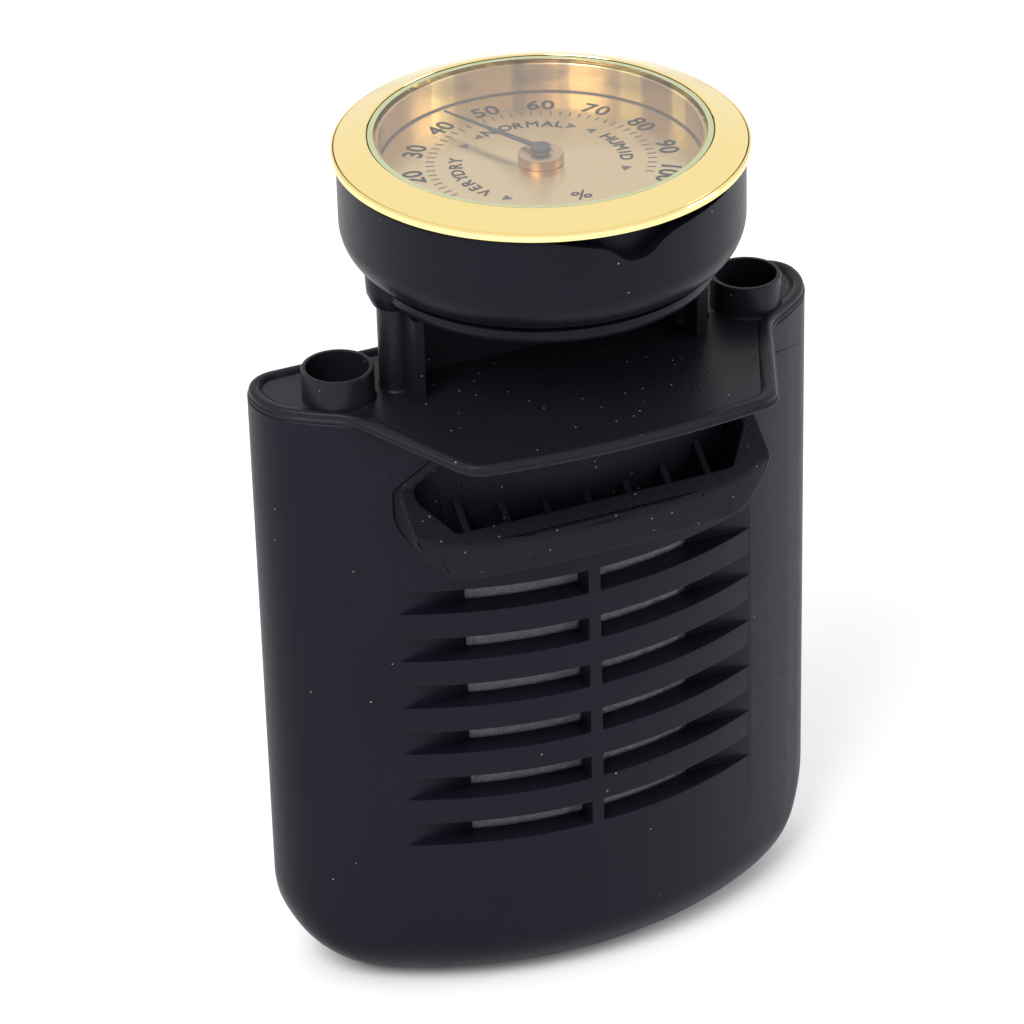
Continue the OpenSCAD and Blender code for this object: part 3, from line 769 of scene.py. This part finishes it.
def quarter(r, z, radius, start, end, n=8):
    """Points of a quarter round in a lathe's profile."""
    return [(r + radius * math.cos(math.radians(start + (end - start) * i / n)),
             z + radius * math.sin(math.radians(start + (end - start) * i / n))) for i in range(n + 1)]


def pry_notch():
    """Lopsided scoop in the outside of the rim."""
    line = smooth_curve([(-9.5, 0.12), (-8.4, -0.1), (-5.5, -0.72), (-2.6, -1.45), (-1.2, -2.3),
                         (-0.1, -3.15), (1.6, -3.4), (2.9, -3.0), (4.1, -2.1), (5.6, -1.4), (7.8, -1.0),
                         (12.9, -0.5), (17.2, -0.1), (19.5, 0.12)])
    above = [(19.5, RIM_Z + 2), (-9.5, RIM_Z + 2)]
    scoop = prism("scoop", [(x, RIM_Z + z) for x, z in line] + above, "y", -HOLDER_R - 1, 0)
    return cut(scoop, rod("inner_wall", 0, 0, ((POCKET_R + 0.5, 80), (POCKET_R + 0.5, 110)), 192))


def holder():
    """Round cup with a rounded foot and a shallow dish under it."""
    foot, outer, inner = 4.5, 0.35, 0.2
    profile = [(0, DISH_Z), *quarter(17.9, DISH_Z + 1.2, 1.2, -90, 0, 6),
               (19.1, HOLDER_Z - 0.25), (19.3, HOLDER_Z - 0.05),
               *quarter(HOLDER_R - foot, HOLDER_Z + foot, foot, -75, 0, 14),
               *quarter(HOLDER_R - outer, RIM_Z - outer, outer, 0, 90, 5),
               *quarter(POCKET_R + inner, RIM_Z - inner, inner, 90, 180, 3),
               (POCKET_R, POCKET_Z), (14.5, POCKET_Z), (14.5, DISH_Z + 1.6), (0, DISH_Z + 1.6)]
    cup = lathe("holder_look", profile, 256)
    for s in (-1, 1):
        add(cup, rod("boss", s * POST_X, 0, (
            (2.3, DISH_Z - 0.6), (2.45, DISH_Z - 0.5), (3.0, DISH_Z + 0.8), (3.05, DISH_Z + 1.6),
            (3.15, POCKET_Z - 0.5)), 64))
        post_room = ((POST_R + 0.05, DISH_Z - 10), (POST_R + 0.05, HOLDER_Z - 1))
        screw_room = ((POST_SCREW_ROOM_R, DISH_Z - 3), (POST_SCREW_ROOM_R, POCKET_Z - 0.8), (1.85, POCKET_Z),
                      (1.85, POCKET_Z + 1))
        cut(cup, rod("post_room", s * POST_X, 0, post_room, 64),
            rod("screw_room", s * POST_X, 0, screw_room, 32))
    cut(cup, *neck_walls(0.1, 0), pry_notch())
    return done(cup, "lid_unit", ["holder"], [LOOKS["holder_plastic"]])


# ---- Instrument ----

def bezel():
    """Gold ring with a sloped face and a fine groove just inside its edge; the groove's floor is painted dark
    as shade.
    """
    inner, band = LENS_R + 0.03, FLANGE_Z + 1.0
    groove_in, groove_out = BEZEL_R - 0.33, BEZEL_R - 0.25
    slope = [(inner + 0.35 + t * (BEZEL_R - 0.2 - inner - 0.35), TOP_Z - 0.02 + t * (band - TOP_Z + 0.02))
             for t in (0.25, 0.5, 0.75)]
    profile = [(inner, LENS_Z + 0.02), (inner, TOP_Z - 0.10), (inner + 0.05, TOP_Z - 0.03),
               (inner + 0.15, TOP_Z), (inner + 0.35, TOP_Z - 0.02), *slope, (BEZEL_R - 0.36, band + 0.05),
               (groove_in, band - 0.06), (groove_out, band - 0.06), (BEZEL_R - 0.22, band),
               (BEZEL_R - 0.06, band - 0.07), (BEZEL_R, band - 0.2), (BEZEL_R, FLANGE_Z + 0.2),
               (BEZEL_R - 0.2, FLANGE_Z), (19.45, FLANGE_Z), (19.45, DIAL_Z - 1.5), (19.02, DIAL_Z - 1.5),
               (19.02, LENS_Z + 0.02)]
    ring = lathe("bezel_look", profile, 320)

    def zone(face):
        r = math.hypot(face.center.x, face.center.y)
        return 1 if groove_in < r < groove_out and band - 0.1 < face.center.z < band else 0

    return done(ring, "capsule", ["bezel"], [LOOKS["bezel_gold"], GAP_SHADE], 20, zone)


def wall_ring():
    outer = wall_hi.x
    profile = [(outer, DIAL_Z), (outer, LENS_Z), (WALL_R + 0.12, LENS_Z), (WALL_R, LENS_Z - 0.12)]
    profile += [(WALL_R + (0.012 if i % 2 else 0), LENS_Z - 0.3 - i * 0.22) for i in range(13)]
    profile += [(WALL_R, DIAL_Z + 0.14), (WALL_R - 0.16, DIAL_Z + 0.1), (WALL_R - 0.16, DIAL_Z)]
    ring = lathe("wall_ring_look", profile, 256)

    # Faces at the foot of the wall get painted shade: a dark ring where wall and dial meet.
    def seam(face):
        return 1 if face.center.z < DIAL_Z + 0.13 and face.normal.z > -0.5 else 0

    return done(ring, "capsule", ["wall_ring"], [LOOKS["wall_gold"], GAP_SHADE], 20, seam)


def lens():
    profile = [(0, LENS_Z), (WALL_R, LENS_Z), (LENS_R, LENS_Z), (LENS_R, LENS_TOP - 0.1),
               (LENS_R - 0.1, LENS_TOP), (FROST_R, LENS_TOP), (0, LENS_TOP)]
    glass = lathe("lens_look", profile, 256)

    # Faces at the glass's outer edge get painted shade; the ring inside them gets the ground bevel.
    def zone(face):
        r = math.hypot(face.center.x, face.center.y)
        if r > LENS_R - 0.12 and face.center.z > LENS_TOP - 0.2:
            return 2
        return 1 if r > FROST_R and face.center.z > LENS_TOP - 0.2 else 0

    return done(glass, "capsule", ["lens"], [LOOKS["lens_glass"], FROST, GAP_SHADE], 20, zone)


def dial_plate():
    r0, r1, t = 1.65, dial_hi.x, dial_lo.z
    rings = [(r0, t), (r0, DIAL_Z - 0.05), (r0 + 0.05, DIAL_Z), *((r, DIAL_Z) for r in (4, 8, 12, 16)),
             (r1 - 0.1, DIAL_Z), (r1, DIAL_Z - 0.1), (r1, t)]
    plate = lathe("dial_plate_look", rings, 256)
    return done(plate, "capsule", ["dial_plate"], [LOOKS["dial_metal"]])


def hub_bush():
    top, r = DIAL_Z + 1.2, 2.45
    nut_z = DIAL_Z - 1.3
    profile = [(0.55, nut_z), (1.6, nut_z), (1.6, DIAL_Z), (r - 0.08, DIAL_Z), (r, DIAL_Z + 0.08),
               (r, top - 0.22),
               (r - 0.07, top - 0.07), (r - 0.22, top), (1.3, top), (1.25, top - 0.12), (0.62, top - 0.12),
               (0.55, top)]
    bush = lathe("hub_bush_look", profile, 128)
    nut = rod("nut", 0, 0, ((2.35, nut_z), (2.6, nut_z + 0.15), (2.6, DIAL_Z - 0.45), (2.5, DIAL_Z - 0.4)), 6)
    add(bush, cut(nut, rod("bore", 0, 0, ((0.55, nut_z - 1), (0.55, DIAL_Z)), 48)))
    return done(bush, "capsule", ["hub_bush"], [LOOKS["bush_brass"]])


def pointer():
    """Tapered blade with a round hub and a short tail."""
    half = [(-1.0, 0.3), (1.2, 0.38), (4.0, 0.34), (9.0, 0.23), (POINTER_L - 0.5, 0.1),
            (POINTER_L - 0.12, 0.06)]
    outline = half + [(POINTER_L, 0)] + [(x, -y) for x, y in reversed(half)]
    blade = prism("pointer_look", outline, "z", POINTER_Z, POINTER_Z + 0.2)
    hub = rod("hub", 0, 0, ((0.8, POINTER_Z - 0.3), (1.0, POINTER_Z - 0.22), (1.1, POINTER_Z - 0.1),
                            (1.1, POINTER_Z + 0.25), (1.0, POINTER_Z + 0.36), (0.8, POINTER_Z + 0.4)), 64)
    add(blade, hub)
    cut(blade, rod("bore", 0, 0, ((0.5, POINTER_Z - 1), (0.5, POINTER_Z + 0.3)), 32))
    soften(blade, 0.03)
    blade.data.transform(Matrix.Rotation(math.radians(POINTER_ANGLE), 4, "Z"))
    return done(blade, "needle", ["pointer"], [LOOKS["pointer_black"]])


# ---- Print on the dial ----

def glyph(text, height, weight):
    """Flat mesh of a character, centred, height mm tall and made bolder by weight, as (verts, faces)."""
    curve = bpy.data.curves.new("glyph", "FONT")
    curve.body, curve.size, curve.resolution_u = text, 1, 6
    obj = bpy.data.objects.new("glyph", curve)
    bpy.context.scene.collection.objects.link(obj)
    deps = bpy.context.evaluated_depsgraph_get()
    mesh = bpy.data.meshes.new_from_object(obj.evaluated_get(deps), depsgraph=deps)
    bpy.data.objects.remove(obj)
    xs, ys = [v.co.x for v in mesh.vertices], [v.co.y for v in mesh.vertices]
    scale = (height - 2 * weight) / (max(ys) - min(ys))
    middle = ((max(xs) + min(xs)) / 2, (max(ys) + min(ys)) / 2)
    verts, faces = [], []
    for k in range(9):
        shift = (0, 0) if k == 8 else (weight * math.cos(k * math.pi / 4), weight * math.sin(k * math.pi / 4))
        faces += [tuple(len(verts) + i for i in f.vertices) for f in mesh.polygons]
        verts += [((v.co.x - middle[0]) * scale + shift[0], (v.co.y - middle[1]) * scale + shift[1])
                  for v in mesh.vertices]
    return verts, faces


def dial_print():
    """Scale from 10 to 100 %, plain words for the humidity, and small arrowheads between them."""
    verts, faces = [], []
    z = DIAL_Z + 0.012

    def put(shape, r, angle, shift=0.0, wide=1.0):
        pts, polys = shape
        a, first = math.radians(angle), len(verts)
        out, along = Vector((math.cos(a), math.sin(a))), Vector((math.sin(a), -math.cos(a)))
        for u, v in pts:
            p = out * (r + v) + along * (u * wide + shift)
            verts.append((p.x, p.y, z))
        faces.extend(tuple(first + i for i in poly) for poly in polys)

    def angle_of(percent):
        return 92 - 2.58 * (percent - 50)

    tick = ([(-0.085, -0.475), (0.085, -0.475), (0.085, 0.475), (-0.085, 0.475)], [(0, 1, 2, 3)])
    for percent in range(10, 101, 2):
        put(tick, 11.92, angle_of(percent))
    for percent in range(20, 101, 10):
        digits = str(percent)
        step = 1.62 if len(digits) == 2 else 1.5
        for i, digit in enumerate(digits):
            put(glyph(digit, 2.25, 0.06), 13.95, angle_of(percent), (i - (len(digits) - 1) / 2) * step)
    words = (("VERYDRY", (206, 196.5, 187.5, 178.5, 170.5, 160.7, 152), 9.2),
             ("NORMAL", (104, 91, 81.8, 72, 61.6, 53.4), 9.25),
             ("HUMID", (14.6, 5.9, -3.3, -11.7, -19.3), 9.2))
    for word, angles, r in words:
        for letter, angle in zip(word, angles):
            put(glyph(letter, 1.45, 0.05), r, angle)
    put(glyph("%", 1.9, 0.03), 9.1, 274, 0, 1.15)
    for angle, way in ((223.9, 1), (113.9, 1), (30.7, 1), (128.4, -1), (44.4, -1), (-36.5, -1)):
        put(([(0.55 * way, -0.62), (-0.55 * way, 0), (0.55 * way, 0.62)], [(0, 1, 2)]), 9.2, angle)
    mesh = bpy.data.meshes.new("dial_print")
    mesh.from_pydata(verts, [], faces)
    obj = bpy.data.objects.new("dial_print", mesh)
    bpy.context.scene.collection.objects.link(obj)
    mod = obj.modifiers.new("thickness", "SOLIDIFY")
    mod.thickness, mod.offset = 0.01, 1
    settle(obj)
    return done(obj, "capsule", [], [INK])


front_shell()
back_plate()
finger_ledge()
sponge()
lid()
holder()
bezel()
wall_ring()
lens()
dial_plate()
hub_bush()
pointer()
dial_print()

for part in frame["record"]["subparts"]:
    node = frame["nodes"][part["node"]]
    node.data.materials.clear()
    node.data.materials.append(LOOKS[part["material_slot"]])


# ---- Stage, lights and camera ----

def backdrop():
    """Pale floor."""
    look = Look("floor_white", Roughness=0.7, Specular_IOR_Level=0.2)
    look.to("Base Color", look.mix(look.noise(0.02), (0.90, 0.90, 0.90), (0.93, 0.93, 0.93)))
    size = 3000
    corners = [(-size, -size, 0), (size, -size, 0), (size, size, 0), (-size, size, 0)]
    floor = solid("floor", corners, [(0, 1, 2, 3)])
    floor.data.materials.append(look.mat)
    floor.data.transform(Matrix.Scale(MM, 4))


def area(name, place, target, size, power, colour=(1, 1, 1)):
    """Rectangular lamp, with its place, target and size in metres and its power in watts."""
    lamp = bpy.data.lights.new(name, "AREA")
    lamp.shape, lamp.size, lamp.size_y = "RECTANGLE", *size
    lamp.energy, lamp.color = power, colour
    obj = bpy.data.objects.new(name, lamp)
    obj.location = place
    obj.rotation_euler = (Vector(target) - Vector(place)).to_track_quat("-Z", "Y").to_euler()
    bpy.context.scene.collection.objects.link(obj)


def camera():
    """Camera at the photo's angle: from the front left, looking down on the dial."""
    azimuth, elevation, roll = math.radians(-23.0), math.radians(30.445), math.radians(1.535)
    forward = Vector((-math.sin(azimuth) * math.cos(elevation), math.cos(azimuth) * math.cos(elevation),
                      -math.sin(elevation)))
    right = Vector((math.cos(azimuth), math.sin(azimuth), 0))
    up = right.cross(forward)
    side = math.cos(roll) * right - math.sin(roll) * up
    top = math.sin(roll) * right + math.cos(roll) * up
    aim, distance = Vector((-3.77, 1.67, 54.4)), 535.9
    place = (aim - distance * forward) * MM
    data = bpy.data.cameras.new("camera")
    data.lens, data.sensor_width, data.clip_end = 168.71, 36, 20
    obj = bpy.data.objects.new("camera", data)
    turn = Matrix((side, top, -forward)).transposed().to_4x4()
    obj.matrix_world = Matrix.Translation(place) @ turn
    bpy.context.scene.collection.objects.link(obj)
    bpy.context.scene.camera = obj


def world():
    sky = bpy.data.worlds.new("studio")
    sky.use_nodes = True
    sky.node_tree.nodes["Background"].inputs[0].default_value = (1, 1, 1, 1)
    sky.node_tree.nodes["Background"].inputs[1].default_value = 0.97
    bpy.context.scene.world = sky


backdrop()
area("key", (-0.35, -0.25, 0.55), (0, 0, 0.06), (0.35, 0.35), 3.0)
area("fill_right", (0.6, -0.25, 0.25), (0, 0, 0.05), (0.25, 0.5), 1.3, (0.88, 0.9, 1.0))
camera()
world()
bpy.context.scene.view_settings.view_transform = "Standard"
